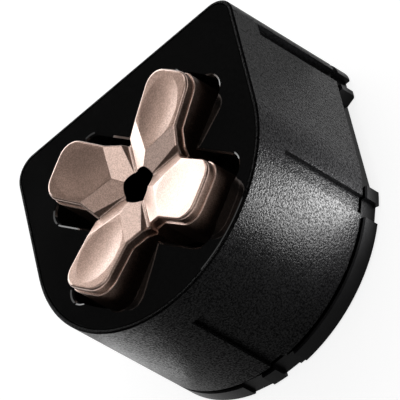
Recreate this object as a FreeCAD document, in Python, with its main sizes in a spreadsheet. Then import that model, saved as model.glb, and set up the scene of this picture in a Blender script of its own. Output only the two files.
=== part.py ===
import FreeCAD, Part
import os
import math
import Sketcher
from FreeCAD import Vector, Placement, Rotation

# Thumb-cross module. Millimetres, +Z towards the thumb, the flat rear face on Z = 0 and the
# centre of the cross on the Z axis. The right arm of the cross points to +X and the upper arm
# to +Y. The straight side of the case faces the corner between the left and the upper arm, so
# the case is drawn in a frame turned by 45 degrees: its own X runs along the straight side and
# its own Y points out of the straight side.

doc = FreeCAD.newDocument("thumb_cross_module")
sheet = doc.addObject("Spreadsheet::Sheet", "Sizes")

# Driving sizes
SIZES = [
    # case
    ("case_radius", 19.0),
    ("case_flat", 19.0),
    ("case_corner", 3.3),
    ("case_turn", 45.0),
    ("rocker_room", 8.2),
    ("base_height", 3.0),
    ("shadow_gap", 0.5),
    ("wall", 1.8),
    ("edge_chamfer", 0.2),
    ("deck_depth", 6.2),
    ("deck_thick", 1.2),
    ("deck_hole_gap", 0.8),
    # face plate
    ("lip_width", 0.45),
    ("plate_gap", 0.08),
    ("plate_thick", 1.4),
    ("plate_chamfer", 0.12),
    ("tape_thick", 0.2),
    ("tape_width", 1.0),
    ("tape_inset", 0.15),
    ("well_half", 6.05),
    ("plate_margin", 3.55),
    ("well_corner", 2.3),
    ("well_bow", 34.0),
    ("well_wall", 0.9),
    ("well_chamfer", 0.3),
    ("well_floor_gap", 0.2),
    # guide slots
    ("slot_start", 4.6),
    ("slot_depth", 0.8),
    ("side_slot_width", 2.05),
    ("side_slot_inset", 4.2),
    ("round_slot_width", 2.65),
    ("round_slot_angle", 20.5),
    ("end_slot_width", 2.35),
    # cross cap
    ("arm_side_gap", 2.05),
    ("arm_end_gap", 0.85),
    ("arm_bow", 34.0),
    ("arm_corner", 2.4),
    ("arm_root", 7.8),
    ("arm_crotch", 4.95),
    ("cap_depth", 4.4),
    ("ledge_drop", 1.3),
    ("ledge_width", 0.2),
    ("edge_round", 0.36),
    ("facet_start", 4.18),
    ("facet_rise", 2.175),
    ("facet_slope", 0.117),
    ("flank_half", 3.71),
    ("flank_reach", 3.58),
    ("flank_slope", 0.347),
    ("groove_rise", 0.73),
    ("groove_slope", 0.012),
    ("groove_side", 1.13),
    ("dish_depth", 0.12),
    ("dish_side_gap", 0.4),
    ("dish_root_gap", 1.1),
    ("dish_end_gap", 0.8),
    ("eye_radius", 2.35),
    # rocker under the cap
    ("pivot_depth", 7.6),
    ("ball_radius", 2.0),
    ("ball_gap", 0.05),
    ("hub_radius", 6.2),
    ("flange_radius", 9.0),
    ("flange_thick", 1.3),
    ("flange_gap", 1.2),
    ("foot_inset", 5.6),
    ("foot_radius", 1.6),
    ("foot_lift", 0.05),
    ("arm_beam_half", 1.6),
    ("post_radius", 1.9),
    ("post_drop", 1.1),
    ("post_gap", 0.55),
    ("post_collar", 2.8),
    ("post_collar_thick", 1.1),
    ("post_depth", 3.2),
    ("post_fit", 0.02),
    # cap screws
    ("cap_screw_place", 4.35),
    ("cap_screw_radius", 0.6),
    ("cap_screw_head", 1.15),
    ("cap_screw_head_thick", 0.7),
    ("cap_screw_reach", 3.0),
    ("screw_gap", 0.06),
    # board and switch parts
    ("board_stand", 2.5),
    ("board_thick", 1.0),
    ("board_gap", 0.6),
    ("boss_notch_gap", 0.4),
    ("board_centre_gap", 0.6),
    ("pad_radius", 1.9),
    ("pad_thick", 0.06),
    ("sheet_thick", 0.5),
    ("sheet_margin", 1.1),
    ("sheet_centre", 4.2),
    ("dome_foot", 3.3),
    ("dome_top", 2.0),
    ("dome_wall", 0.35),
    ("dome_rise", 2.95),
    ("dome_shoulder", 2.3),
    ("pill_radius", 1.5),
    ("pill_travel", 0.5),
    ("frame_thick", 0.8),
    ("frame_width_gap", 0.45),
    ("board_screw_outset", 2.5),
    ("board_screw_radius", 0.75),
    ("board_screw_head", 1.4),
    ("board_screw_head_thick", 0.9),
    ("board_screw_reach", 2.6),
    ("board_post_radius", 2.2),
    ("chip_side", 4.0),
    ("chip_thick", 0.8),
    ("chip_across", -6.0),
    ("chip_along", -3.5),
    ("small_long", 1.0),
    ("small_wide", 0.55),
    ("small_tall", 0.5),
    ("small_step", 1.4),
    ("small_place", 3.5),
    ("small_row", 3.2),
    ("chip_edge", 0.12),
    ("pad_slit", 0.3),
    # rear cover
    ("spigot_gap", 0.15),
    ("spigot_thick", 1.0),
    ("spigot_height", 2.0),
    ("side_recess", 1.5),
    ("side_recess_inset", 6.7),
    ("side_recess_low", 3.6),
    ("end_recess", 0.5),
    ("end_recess_width", 3.3),
    ("end_recess_angle", 15.0),
    ("end_recess_near", 1.5),
    ("centre_boss", 4.0),
    ("corner_boss_inset", 4.0),
    ("round_boss_inset", 3.0),
    ("boss_radius", 2.4),
    ("rear_screw_radius", 1.0),
    ("rear_screw_head", 1.9),
    ("rear_screw_head_thick", 1.2),
    ("rear_screw_sunk", 0.15),
    ("rear_screw_reach", 7.0),
    ("rear_head_gap", 0.2),
    ("centre_screw_radius", 0.8),
    ("centre_screw_head", 1.5),
    ("centre_screw_head_thick", 0.9),
    ("centre_screw_reach", 3.4),
    # rear contacts
    ("block_end", 0.65),
    ("block_wide", 4.4),
    ("block_off_boss", 0.5),
    ("block_recess", 0.65),
    ("block_gap", 0.15),
    ("block_edge", 0.2),
    ("contact_count", 8.0),
    ("contact_pitch", 1.4),
    ("contact_wide", 0.9),
    ("contact_long", 3.2),
    ("contact_thick", 0.2),
    ("contact_pin", 0.25),
    ("contact_pin_gap", 0.05),
    # magnets
    ("magnet_radius", 3.0),
    ("magnet_thick", 1.7),
    ("magnet_gap", 0.05),
    ("blind_extra", 0.3),
    ("tip_gap", 0.5),
    ("overcut", 1.0),
    ("outcut", 2.0),
    ("solder_gap", 0.1),
    ("magnet_across", 7.5),
    ("magnet_along", 5.5),
]

for row, (alias, number) in enumerate(SIZES, start=1):
    sheet.set("A%d" % row, alias.replace("_", " "))
    sheet.set("B%d" % row, str(number))
    sheet.setAlias("B%d" % row, alias)
doc.recompute()


class Size:
    """A number together with the expression that gives it from the sheet's cells."""

    def __init__(self, text, value):
        self.text = text
        self.value = float(value)

    def __add__(self, other):
        other = as_size(other)
        return Size("(%s + %s)" % (self.text, other.text), self.value + other.value)

    def __radd__(self, other):
        return as_size(other) + self

    def __sub__(self, other):
        other = as_size(other)
        return Size("(%s - %s)" % (self.text, other.text), self.value - other.value)

    def __rsub__(self, other):
        return as_size(other) - self

    def __mul__(self, other):
        other = as_size(other)
        return Size("(%s * %s)" % (self.text, other.text), self.value * other.value)

    def __rmul__(self, other):
        return as_size(other) * self

    def __truediv__(self, other):
        other = as_size(other)
        return Size("(%s / %s)" % (self.text, other.text), self.value / other.value)

    def __neg__(self):
        return Size("(0 - %s)" % self.text, -self.value)


def as_size(number):
    """A plain number as a Size, so that sums may mix both."""
    if isinstance(number, Size):
        return number
    return Size("(%r)" % float(number), number)


def cell(alias):
    """The named cell of the sheet."""
    return Size("Sizes.%s" % alias, sheet.get(alias))


def cosine(angle):
    return Size("cos(%s * 1 deg)" % angle.text, math.cos(math.radians(angle.value)))


def sine(angle):
    return Size("sin(%s * 1 deg)" % angle.text, math.sin(math.radians(angle.value)))


def root(number):
    return Size("sqrt(%s)" % number.text, math.sqrt(number.value))


def new_body(name, turned=False):
    """A body named after its node; a turned one uses the case's own axes."""
    body = doc.addObject("PartDesign::Body", name)
    body.Label = name
    if turned:
        body.Placement = Placement(Vector(0, 0, 0), Rotation(Vector(0, 0, 1), cell("case_turn").value))
        body.setExpression("Placement.Rotation.Angle", "Sizes.case_turn * 1 deg")
    return body


def new_sketch(body, name, height=None, role="XY_Plane"):
    """A sketch on one of the body's own origin planes, raised by a sheet size."""
    sketch = body.newObject("Sketcher::SketchObject", name)
    plane = [item for item in body.Origin.OriginFeatures if item.Role == role][0]
    sketch.AttachmentSupport = [(plane, "")]
    sketch.MapMode = "FlatFace"
    if height is not None:
        sketch.AttachmentOffset = Placement(Vector(0, 0, height.value), Rotation())
        sketch.setExpression("AttachmentOffset.Base.z", height.text + " * 1 mm")
    return sketch


def bind(sketch, kind, *args):
    """A dimension of the sketch whose last argument is a Size."""
    size = args[-1]
    index = sketch.addConstraint(Sketcher.Constraint(kind, *args[:-1], size.value))
    sketch.setExpression("Constraints[%d]" % index, size.text)
    return index


def pin(sketch, geo, pos, across, along):
    """Places one point of a sketch element at two sheet sizes."""
    bind(sketch, "DistanceX", -1, 1, geo, pos, as_size(across))
    bind(sketch, "DistanceY", -1, 1, geo, pos, as_size(along))


def draw_circle(sketch, across, along, radius):
    across = as_size(across)
    along = as_size(along)
    centre = Vector(across.value, along.value, 0)
    geo = sketch.addGeometry(Part.Circle(centre, Vector(0, 0, 1), radius.value), False)
    pin(sketch, geo, 3, across, along)
    bind(sketch, "Radius", geo, radius)
    return geo


def draw_path(sketch, corners):
    """
    A closed outline. Each corner is (across, along) for a straight run to the next corner, or
    (across, along, centre across, centre along) for an arc that turns left to the next corner.
    """
    count = len(corners)
    points = []
    for corner in corners:
        points.append((as_size(corner[0]), as_size(corner[1])))
    geos = []
    for index in range(count):
        first = Vector(points[index][0].value, points[index][1].value, 0)
        after = points[(index + 1) % count]
        last = Vector(after[0].value, after[1].value, 0)
        if len(corners[index]) == 2:
            geos.append(sketch.addGeometry(Part.LineSegment(first, last), False))
            continue
        centre = Vector(as_size(corners[index][2]).value, as_size(corners[index][3]).value, 0)
        start = math.atan2(first.y - centre.y, first.x - centre.x)
        stop = math.atan2(last.y - centre.y, last.x - centre.x)
        circle = Part.Circle(centre, Vector(0, 0, 1), (first - centre).Length)
        geos.append(sketch.addGeometry(Part.ArcOfCircle(circle, start, stop), False))
    for index in range(count):
        geo = geos[index]
        following = (index + 1) % count
        sketch.addConstraint(Sketcher.Constraint("Coincident", geo, 2, geos[following], 1))
        pin(sketch, geo, 1, points[index][0], points[index][1])
        if len(corners[index]) == 2:
            continue
        step_across = abs(points[following][0].value - points[index][0].value)
        step_along = abs(points[following][1].value - points[index][1].value)
        if step_across > step_along:
            bind(sketch, "DistanceY", -1, 1, geo, 3, as_size(corners[index][3]))
        else:
            bind(sketch, "DistanceX", -1, 1, geo, 3, as_size(corners[index][2]))
    return geos


def draw_box(sketch, left, low, right, high):
    draw_path(sketch, [(left, low), (right, low), (right, high), (left, high)])


def draw_turned_box(sketch, angle, near, far, half):
    """A box whose length runs away from the centre at an angle; near and far are radii."""
    c = cosine(angle)
    s = sine(angle)
    draw_path(sketch, [
        (near * c + half * s, near * s - half * c),
        (far * c + half * s, far * s - half * c),
        (far * c - half * s, far * s + half * c),
        (near * c - half * s, near * s + half * c),
    ])


def pad(body, name, sketch, length, reverse=False):
    feature = body.newObject("PartDesign::Pad", name)
    feature.Profile = sketch
    feature.Length = length.value
    feature.setExpression("Length", length.text + " * 1 mm")
    feature.Reversed = reverse
    sketch.Visibility = False
    doc.recompute()
    return feature


def pocket(body, name, sketch, length, upwards=False):
    """Cuts down from the sketch, or up when upwards is set, and makes sure that it cut."""
    before = body.Shape.Volume
    feature = body.newObject("PartDesign::Pocket", name)
    feature.Profile = sketch
    feature.Length = length.value
    feature.setExpression("Length", length.text + " * 1 mm")
    feature.Reversed = upwards
    sketch.Visibility = False
    doc.recompute()
    if body.Shape.Volume > before - 1e-4:
        raise ValueError(name + " cuts nothing")
    return feature


def revolve(body, name, sketch, cut=False):
    """Turns a sketch of the XZ plane about the Z axis."""
    kind = "PartDesign::Groove" if cut else "PartDesign::Revolution"
    feature = body.newObject(kind, name)
    feature.Profile = sketch
    feature.ReferenceAxis = (sketch, ["V_Axis"])
    feature.Angle = 360.0
    sketch.Visibility = False
    doc.recompute()
    return feature


def ring_of(body, name, feature, count, first=None):
    """Repeats a feature evenly about the Z axis."""
    pattern = body.newObject("PartDesign::PolarPattern", name)
    pattern.Originals = [feature]
    axis = [item for item in body.Origin.OriginFeatures if item.Role == "Z_Axis"][0]
    pattern.Axis = (axis, [""])
    pattern.Angle = 360.0
    pattern.Occurrences = count
    body.Tip = pattern
    doc.recompute()
    return pattern


# Derived heights and outlines, all from the cells above
board_low = cell("base_height") - cell("shadow_gap") + cell("board_stand")
board_top = board_low + cell("board_thick")
deck_low = board_top + cell("rocker_room")
deck_top = deck_low + cell("deck_thick")
face_level = deck_top + cell("deck_depth")
housing_low = cell("base_height")
cover_top = cell("base_height") - cell("shadow_gap")
plate_low = face_level - cell("plate_thick")
tape_low = plate_low - cell("tape_thick")
pivot = face_level - cell("pivot_depth")
cap_low = face_level - cell("cap_depth")
hub_low = deck_low - cell("flange_gap") - cell("flange_thick")
sheet_top = board_top + cell("sheet_thick")
frame_top = sheet_top + cell("frame_thick")
dome_top_level = board_top + cell("dome_rise")
foot_low = dome_top_level + cell("foot_lift")
well_tip = cell("case_radius") - cell("plate_margin")
arm_tip = well_tip - cell("arm_end_gap")
arm_half = cell("well_half") - cell("arm_side_gap")
foot_place = arm_tip - cell("foot_inset")
sheet_radius = foot_place + cell("dome_foot") + cell("sheet_margin")
board_screw_place = foot_place + cell("board_screw_outset")
block_place = cell("centre_boss") + cell("block_off_boss") + cell("block_wide") / 2
block_long = (cell("contact_pitch") * (cell("contact_count") - 1) + cell("contact_wide")
              + 2 * cell("block_end"))
diagonal = root(as_size(0.5))


def case_outline(sketch, inset, cross_frame=False):
    """
    The U-shaped outline of the case, moved inwards by inset; in the cross's frame it is turned
    by the sketch itself.
    """
    half = cell("case_radius") - inset
    flat = cell("case_flat") - inset
    corner = cell("case_corner") - inset
    path = [
        (-half, as_size(0), as_size(0), as_size(0)),
        (half, as_size(0)),
        (half, flat - corner, half - corner, flat - corner),
        (half - corner, flat),
        (corner - half, flat, corner - half, flat - corner),
        (-half, flat - corner),
    ]
    if cross_frame:
        c = cosine(cell("case_turn"))
        s = sine(cell("case_turn"))
        turned = []
        for spot in path:
            row = (spot[0] * c - spot[1] * s, spot[0] * s + spot[1] * c)
            if len(spot) > 2:
                row = row + (spot[2] * c - spot[3] * s, spot[2] * s + spot[3] * c)
            turned.append(row)
        path = turned
    draw_path(sketch, path)


def quarter_turns(out, left):
    """The same point of each arm: right, upper, left and lower."""
    return [(out, left), (-left, out), (-out, -left), (left, -out)]


def cross_outline(sketch, half, tip, corner, bow, crotch, start):
    """
    The outline of the cross with rounded arm corners. The end of each arm is an arc of radius
    bow through its two corners. The sides run in from start to the crotch between two arms.
    """
    flat = tip - corner
    side = half - corner
    middle = tip - root(bow * bow - side * side)
    crotches = quarter_turns(crotch, -crotch)
    starts = quarter_turns(start, -half)
    corner_starts = quarter_turns(flat, -half)
    corner_centres = quarter_turns(flat, -side)
    end_starts = quarter_turns(tip, -side)
    end_centres = quarter_turns(middle, as_size(0))
    second_starts = quarter_turns(tip, side)
    second_centres = quarter_turns(flat, side)
    second_ends = quarter_turns(flat, half)
    side_ends = quarter_turns(start, half)
    path = []
    for arm in range(4):
        path.append(crotches[arm])
        path.append(starts[arm])
        path.append(corner_starts[arm] + corner_centres[arm])
        path.append(end_starts[arm] + end_centres[arm])
        path.append(second_starts[arm] + second_centres[arm])
        path.append(second_ends[arm])
        path.append(side_ends[arm])
    draw_path(sketch, path)


def boss_places():
    """The four places where the rear screws go, in the case's own axes."""
    corner = cell("case_radius") - cell("corner_boss_inset")
    low = (cell("case_radius") - cell("round_boss_inset")) * diagonal
    return [(corner, corner), (-corner, corner), (low, -low), (-low, -low)]


def bosses_of_case(sketch, radius):
    for across, along in boss_places():
        draw_circle(sketch, across, along, radius)


def slot_boxes(sketch, floor):
    """The five guide slots: two in each side and one in the round end."""
    half = cell("side_slot_width") / 2
    place = (cell("case_flat") - cell("side_slot_inset"))
    out = cell("case_radius") + cell("outcut")
    draw_box(sketch, floor, place - half, out, place + half)
    draw_box(sketch, -out, place - half, -floor, place + half)
    angle = cell("round_slot_angle")
    wide = cell("round_slot_width") / 2
    draw_turned_box(sketch, -angle, floor, out, wide)
    draw_turned_box(sketch, 180 + angle, floor, out, wide)
    end = cell("end_slot_width") / 2
    draw_box(sketch, -end, -out, end, -floor)


def on_level(edge, level):
    box = edge.BoundBox
    return abs(box.ZMax - level) < 1e-6 and abs(box.ZMin - level) < 1e-6


def inside_cross(edge):
    """True for an edge of the well's own outline, which stays within the arms of the cross."""
    half = cell("well_half").value + 0.1
    tip = well_tip.value + cell("well_half").value ** 2 / (2.0 * cell("well_bow").value)
    for vertex in edge.Vertexes + [Part.Vertex(edge.valueAt(edge.FirstParameter * 0.5
                                                           + edge.LastParameter * 0.5))]:
        low = min(abs(vertex.X), abs(vertex.Y))
        high = max(abs(vertex.X), abs(vertex.Y))
        if low > half or high > tip:
            return False
    return True


def chamfer(body, name, size, wanted):
    """Chamfers the edges of the body's tip that the test picks."""
    base = body.Tip
    names = []
    for number, edge in enumerate(base.Shape.Edges, start=1):
        if wanted(edge):
            names.append("Edge%d" % number)
    if not names:
        raise ValueError(name + " has no edges")
    feature = body.newObject("PartDesign::Chamfer", name)
    feature.Base = (base, names)
    feature.Size = size.value
    feature.setExpression("Size", size.text + " * 1 mm")
    base.Visibility = False
    doc.recompute()
    return feature


def rim_rows(shape, radius, ridges):
    """
    The edges between the facets and the upright sides, as rows for a Part fillet. With ridges,
    the edges between two facets too.
    """
    rows = []
    for number, edge in enumerate(shape.Edges, start=1):
        faces = shape.ancestorsOfType(edge, Part.Face)
        if len(faces) != 2:
            continue
        middle = edge.valueAt((edge.FirstParameter + edge.LastParameter) / 2.0)
        upright = 0
        upward = 0
        for face in faces:
            u, v = face.Surface.parameter(middle)
            lift = face.normalAt(u, v).z
            if abs(lift) < 1e-6:
                upright += 1
            elif lift > 0.0:
                upward += 1
        if upright == 1 and upward == 1:
            rows.append((number, radius, radius))
        elif ridges and upward == 2:
            rows.append((number, radius, radius))
    return rows


def shape_object(name, shape):
    item = doc.addObject("Part::Feature", name)
    item.Shape = shape
    return item


def round_tool(name, radius, low, length):
    """An upright cylinder on the Z axis from sheet sizes."""
    item = doc.addObject("Part::Cylinder", name)
    item.setExpression("Radius", radius.text + " * 1 mm")
    item.setExpression("Height", length.text + " * 1 mm")
    item.setExpression("Placement.Base.z", low.text + " * 1 mm")
    return item


def axis_circles(sketch, place, radius):
    """Four circles on the sketch's own axes."""
    for across, along in quarter_turns(place, as_size(0)):
        draw_circle(sketch, across, along, radius)


def diagonal_circles(sketch, place, radius):
    """Four circles halfway between the sketch's axes."""
    step = place * diagonal
    for across, along in quarter_turns(step, step):
        draw_circle(sketch, across, along, radius)


def board_screw_circles(sketch, radius):
    """The board screws in the cross's axes: on the diagonals between the domes."""
    diagonal_circles(sketch, board_screw_place, radius)


def magnet_circles(sketch, radius):
    draw_circle(sketch, cell("magnet_across"), -cell("magnet_along"), radius)
    draw_circle(sketch, -cell("magnet_across"), -cell("magnet_along"), radius)


def contact_places():
    """The centres of the rear contacts along the block, evenly about its middle."""
    count = int(cell("contact_count").value)
    places = []
    for number in range(count):
        places.append(cell("contact_pitch") * (number - (count - 1) / 2.0))
    return places


def contact_circles(sketch, radius):
    for across in contact_places():
        draw_circle(sketch, across, block_place, radius)


def drive_cross(body, places, head, thick, low, upwards=True):
    """The cross recess in the face of the screw heads at these places."""
    long_half = head * 0.55
    slim_half = head * 0.14
    sketch = new_sketch(body, body.Name + "_drive", low)
    for x, y in places:
        draw_path(sketch, [
            (x - long_half, y - slim_half), (x - slim_half, y - slim_half),
            (x - slim_half, y - long_half), (x + slim_half, y - long_half),
            (x + slim_half, y - slim_half), (x + long_half, y - slim_half),
            (x + long_half, y + slim_half), (x + slim_half, y + slim_half),
            (x + slim_half, y + long_half), (x - slim_half, y + long_half),
            (x - slim_half, y + slim_half), (x - long_half, y + slim_half),
        ])
    pocket(body, "drive", sketch, thick * 0.55, upwards)


# Facets of the cross: one arm's roof is what lies under its planes, and the roofs of the four
# arms joined together give the flat facets, the flanks and the grooves between the arms.


def under_plane(block, level, slope_out, slope_side):
    """Keeps what lies under level + slope_out * Y + slope_side * X."""
    span = arm_tip.value * 4.0
    corners = []
    for across, along in [(-span, -span), (span, -span), (span, span), (-span, span)]:
        corners.append(Vector(across, along, level + slope_out * along + slope_side * across))
    sheet_face = Part.Face(Part.makePolygon(corners + [corners[0]]))
    return block.cut(sheet_face.extrude(Vector(0, 0, span * 4.0)))


def roof_of_arm(drop):
    """The roof of the upper arm, lowered by drop."""
    face = face_level.value - drop
    start = cell("facet_start").value
    rise = cell("facet_rise").value
    slope = cell("facet_slope").value
    reach = cell("flank_reach").value
    half = cell("flank_half").value
    flank = cell("flank_slope").value
    side = (flank - slope) * reach / half
    groove = cell("groove_slope").value / 2.0
    steep = cell("groove_side").value / math.sqrt(2.0)
    wide = arm_tip.value * 4.0
    block = Part.makeBox(wide, wide, wide, Vector(-wide / 2.0, -wide / 2.0, 0.0))
    block = under_plane(block, face + rise - slope * start, slope, 0.0)
    for hand in (-1.0, 1.0):
        block = under_plane(block, face + rise - flank * start, flank, hand * side)
        level = face + cell("groove_rise").value
        block = under_plane(block, level, groove + steep, hand * (steep - groove))
    return block


def facet_block(drop):
    """The four roofs joined."""
    roof = roof_of_arm(drop)
    block = roof
    for turn in (90.0, 180.0, 270.0):
        other = roof.copy()
        other.rotate(Vector(0, 0, 0), Vector(0, 0, 1), turn)
        block = block.fuse(other)
    return block


def dishes_of_arms():
    """
    The tools for the thumb dishes: a shallow arc across each arm, turned about a far axis so
    that it runs out before the root and before the tip.
    """
    start = cell("facet_start").value
    slope = cell("facet_slope").value
    depth = cell("dish_depth").value
    near = start + cell("dish_root_gap").value
    far = arm_tip.value - cell("dish_end_gap").value
    half_long = (far - near) / 2.0
    half_wide = cell("flank_half").value - cell("dish_side_gap").value
    radius = (half_long * half_long + depth * depth) / (2.0 * depth)
    steepness = math.sqrt(1.0 + slope * slope)
    along = Vector(0.0, 1.0 / steepness, slope / steepness)
    upwards = Vector(0.0, -slope / steepness, 1.0 / steepness)
    across = Vector(1.0, 0.0, 0.0)
    centre = (near + far) / 2.0
    level = face_level.value + cell("facet_rise").value + slope * (centre - start)
    middle = Vector(0.0, centre, level)
    left = middle - across * half_wide
    right = middle + across * half_wide
    bottom = middle - upwards * depth
    profile = Part.Wire([
        Part.Arc(left, bottom, right).toShape(),
        Part.makeLine(right, right + upwards),
        Part.makeLine(right + upwards, left + upwards),
        Part.makeLine(left + upwards, left),
    ])
    axis = middle + upwards * (radius - depth)
    swing = math.degrees(math.asin(half_long / radius)) * 1.2
    section = Part.Face(profile)
    section.rotate(axis, across, -swing)
    tool = section.revolve(axis, across, 2.0 * swing).toNurbs()
    tools = []
    for turn in range(4):
        copy = tool.copy()
        copy.rotate(Vector(0, 0, 0), Vector(0, 0, 1), 90.0 * turn)
        tools.append(copy)
    return tools


# Housing: the moulded shell with its deck, bosses, plate rebate and guide slots
housing = new_body("housing", True)
sketch = new_sketch(housing, "housing_outline", housing_low)
case_outline(sketch, as_size(0))
pad(housing, "housing_block", sketch, face_level - housing_low)
upper_level = face_level.value
lower_level = housing_low.value
chamfer(housing, "outer_edges", cell("edge_chamfer"), lambda edge: on_level(edge, upper_level)
        or on_level(edge, lower_level))
sketch = new_sketch(housing, "housing_rebate", face_level)
case_outline(sketch, cell("lip_width"))
pocket(housing, "plate_rebate", sketch, face_level - tape_low)
sketch = new_sketch(housing, "housing_upper_room", tape_low)
case_outline(sketch, cell("wall"))
pocket(housing, "upper_room", sketch, tape_low - deck_top)
sketch = new_sketch(housing, "housing_lower_room", housing_low)
case_outline(sketch, cell("wall"))
pocket(housing, "lower_room", sketch, deck_low - housing_low, True)
sketch = new_sketch(housing, "housing_bosses", cover_top)
bosses_of_case(sketch, cell("boss_radius"))
pad(housing, "screw_bosses", sketch, deck_low - cover_top)
sketch = new_sketch(housing, "housing_boss_holes", cover_top)
bosses_of_case(sketch, cell("rear_screw_radius") + cell("screw_gap"))
pocket(housing, "boss_holes", sketch, cell("rear_screw_reach"), True)
sketch = new_sketch(housing, "housing_hub_hole", deck_top)
draw_circle(sketch, 0, 0, cell("hub_radius") + cell("deck_hole_gap"))
pocket(housing, "hub_hole", sketch, cell("deck_thick"))
sketch = new_sketch(housing, "housing_slots", face_level - cell("slot_start"))
slot_boxes(sketch, cell("case_radius") - cell("slot_depth"))
pocket(housing, "guide_slots", sketch, face_level)


def well_outline(sketch, out):
    """The cross outline of the well, moved outwards by out."""
    half = cell("well_half") + out
    cross_outline(sketch, half, well_tip + out, cell("well_corner") + out,
                  cell("well_bow") + out, half, half + 1)


# Face plate: the gloss plate with the wall of the cross-shaped well moulded to it
well_low = deck_top + cell("well_floor_gap")
plate_inset = cell("lip_width") + cell("plate_gap")
face_plate = new_body("face_plate")
sketch = new_sketch(face_plate, "plate_outline", plate_low)
case_outline(sketch, plate_inset, True)
pad(face_plate, "plate_sheet", sketch, cell("plate_thick"))
sketch = new_sketch(face_plate, "well_wall_outline", well_low)
well_outline(sketch, cell("well_wall"))
pad(face_plate, "well_wall_block", sketch, face_level - well_low)
sketch = new_sketch(face_plate, "well_room_outline", face_level)
well_outline(sketch, as_size(0))
pocket(face_plate, "well_room", sketch, face_level)
# The bowed edges at the tips run on smoothly from their corners, so the chamfer follows them
# without their being picked.
level = face_level.value
reach = well_tip.value
chamfer(face_plate, "well_edge", cell("well_chamfer"), lambda edge: on_level(edge, level)
        and inside_cross(edge) and max(abs(edge.CenterOfMass.x), abs(edge.CenterOfMass.y)) < reach)
chamfer(face_plate, "plate_edge", cell("plate_chamfer"), lambda edge: on_level(edge, level)
        and not inside_cross(edge))

# Tape: the ring of thin adhesive that holds the plate on the housing's ledge
tape_inset = plate_inset + cell("tape_inset")
plate_tape = new_body("plate_tape", True)
sketch = new_sketch(plate_tape, "tape_outline", tape_low)
case_outline(sketch, tape_inset)
pad(plate_tape, "tape_sheet", sketch, cell("tape_thick"))
sketch = new_sketch(plate_tape, "tape_window", plate_low)
case_outline(sketch, tape_inset + cell("tape_width"))
pocket(plate_tape, "tape_opening", sketch, cell("tape_thick"))

# Cross cap: the prism of the cross under its facets, with a slightly wider skirt below
cap_core = new_body("cap_core")
sketch = new_sketch(cap_core, "cap_outline", cap_low)
cross_outline(sketch, arm_half, arm_tip, cell("arm_corner"), cell("arm_bow"),
              cell("arm_crotch"), cell("arm_root"))
pad(cap_core, "cap_prism", sketch, face_level)
cap_skirt = new_body("cap_skirt")
ledge = cell("ledge_width")
sketch = new_sketch(cap_skirt, "skirt_outline", cap_low)
cross_outline(sketch, arm_half + ledge, arm_tip + ledge,
              cell("arm_corner") + ledge, cell("arm_bow") + ledge, cell("arm_crotch") + ledge,
              cell("arm_root"))
pad(cap_skirt, "skirt_prism", sketch, face_level)
upper_roof = shape_object("upper_roof", facet_block(0.0))
lower_roof = shape_object("lower_roof", facet_block(cell("ledge_drop").value))
cap_upper = doc.addObject("Part::Common", "cap_upper")
cap_upper.Base = cap_core
cap_upper.Tool = upper_roof
cap_upper.Refine = True
doc.recompute()
cap_rounded = doc.addObject("Part::Fillet", "cap_rounded")
cap_rounded.Base = cap_upper
cap_rounded.Edges = rim_rows(cap_upper.Shape, cell("edge_round").value, True)
cap_lower = doc.addObject("Part::Common", "cap_lower")
cap_lower.Base = cap_skirt
cap_lower.Tool = lower_roof
cap_lower.Refine = True
doc.recompute()
cap_lower_rounded = doc.addObject("Part::Fillet", "cap_lower_rounded")
cap_lower_rounded.Base = cap_lower
cap_lower_rounded.Edges = rim_rows(cap_lower.Shape, ledge.value * 0.6, False)
cap_joined = doc.addObject("Part::MultiFuse", "cap_joined")
cap_joined.Shapes = [cap_rounded, cap_lower_rounded]
cap_joined.Refine = True
cap_eye = round_tool("cap_eye", cell("eye_radius"), cap_low - cell("overcut"), face_level)
cap_holes = new_body("cap_holes")
sketch = new_sketch(cap_holes, "cap_hole_places", cap_low - cell("overcut"))
diagonal_circles(sketch, cell("cap_screw_place"), cell("cap_screw_radius") + cell("screw_gap"))
pad(cap_holes, "cap_hole_pins", sketch,
    cell("cap_screw_reach") + cell("overcut") + cell("blind_extra"))
cap_tools = doc.addObject("Part::MultiFuse", "cap_tools")
cap_tools.Shapes = [cap_eye, cap_holes]
cap_pierced = doc.addObject("Part::Cut", "cap_pierced")
cap_pierced.Base = cap_joined
cap_pierced.Tool = cap_tools
thumb_dishes = shape_object("thumb_dishes", Part.makeCompound(dishes_of_arms()))
dpad_cap = doc.addObject("Part::Cut", "dpad_cap")
dpad_cap.Label = "dpad_cap"
dpad_cap.Base = cap_pierced
dpad_cap.Tool = thumb_dishes
doc.recompute()

# Rocker: hub, retaining flange, four beams with feet, and the socket over the ball
dpad_carrier = new_body("dpad_carrier")
sketch = new_sketch(dpad_carrier, "hub_outline", hub_low)
draw_circle(sketch, 0, 0, cell("hub_radius"))
pad(dpad_carrier, "hub", sketch, cap_low - hub_low)
sketch = new_sketch(dpad_carrier, "flange_outline", hub_low)
draw_circle(sketch, 0, 0, cell("flange_radius"))
pad(dpad_carrier, "flange", sketch, cell("flange_thick"))
foot = foot_place
beam = cell("arm_beam_half")
sketch = new_sketch(dpad_carrier, "beam_lengthwise", hub_low)
draw_box(sketch, -foot, -beam, foot, beam)
pad(dpad_carrier, "beam_one", sketch, cell("flange_thick"))
sketch = new_sketch(dpad_carrier, "beam_crosswise", hub_low)
draw_box(sketch, -beam, -foot, beam, foot)
pad(dpad_carrier, "beam_two", sketch, cell("flange_thick"))
sketch = new_sketch(dpad_carrier, "foot_outline", foot_low)
axis_circles(sketch, foot, cell("foot_radius"))
pad(dpad_carrier, "feet", sketch, hub_low + cell("flange_thick") - foot_low)
bore = cell("post_radius") + cell("post_gap")
socket_radius = cell("ball_radius") + cell("ball_gap")
sketch = new_sketch(dpad_carrier, "socket_profile", None, "XZ_Plane")
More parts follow.
